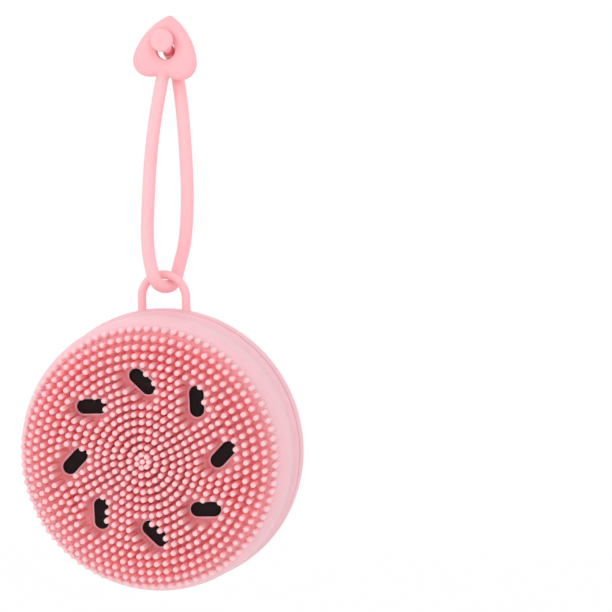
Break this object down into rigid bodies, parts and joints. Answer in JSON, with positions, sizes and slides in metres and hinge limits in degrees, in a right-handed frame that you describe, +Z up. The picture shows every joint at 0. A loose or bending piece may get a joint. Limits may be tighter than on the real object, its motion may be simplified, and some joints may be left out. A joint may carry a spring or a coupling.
{
  "type": "facial cleansing brush",
  "caption": "Round silicone face brush with short bristles and dark seed inlays on its face, a smooth back, and a hanging ring on a buttoned cord strap with a heart tab.",
  "frame": {"origin": "the place of a hook inside the strap loop, just under the heart tab", "axes": "+Z up as the brush hangs, +X to the right seen from the bristle side, the bristle face looks towards -Y"},
  "size_m": [0.0818, 0.0416, 0.1671],
  "materials": {
    "body_pink": "soft matt silicone",
    "seed_black": "matt black silicone",
    "strap_pink": "smooth satin silicone",
    "core_white": "moulded, not seen"
  },
  "bodies": {
    "strap": {"strap_cord": "strap_pink", "heart_tab": "strap_pink", "button_stud": "strap_pink"},
    "brush_head": {"bristle_pad": "body_pink", "seed_1": "seed_black", "seed_2": "seed_black", "seed_3": "seed_black", "seed_4": "seed_black", "seed_5": "seed_black", "seed_6": "seed_black", "seed_7": "seed_black", "seed_8": "seed_black", "back_shell": "body_pink", "inner_core": "core_white", "hang_ring": "strap_pink"}
  },
  "joints": [
    {"name": "head_swing", "type": "hinge", "parent": "strap", "child": "brush_head", "pos_m": [0, 0, -0.054], "axis": [1, 0, 0], "range_deg": [-100, 110]}
  ]
}
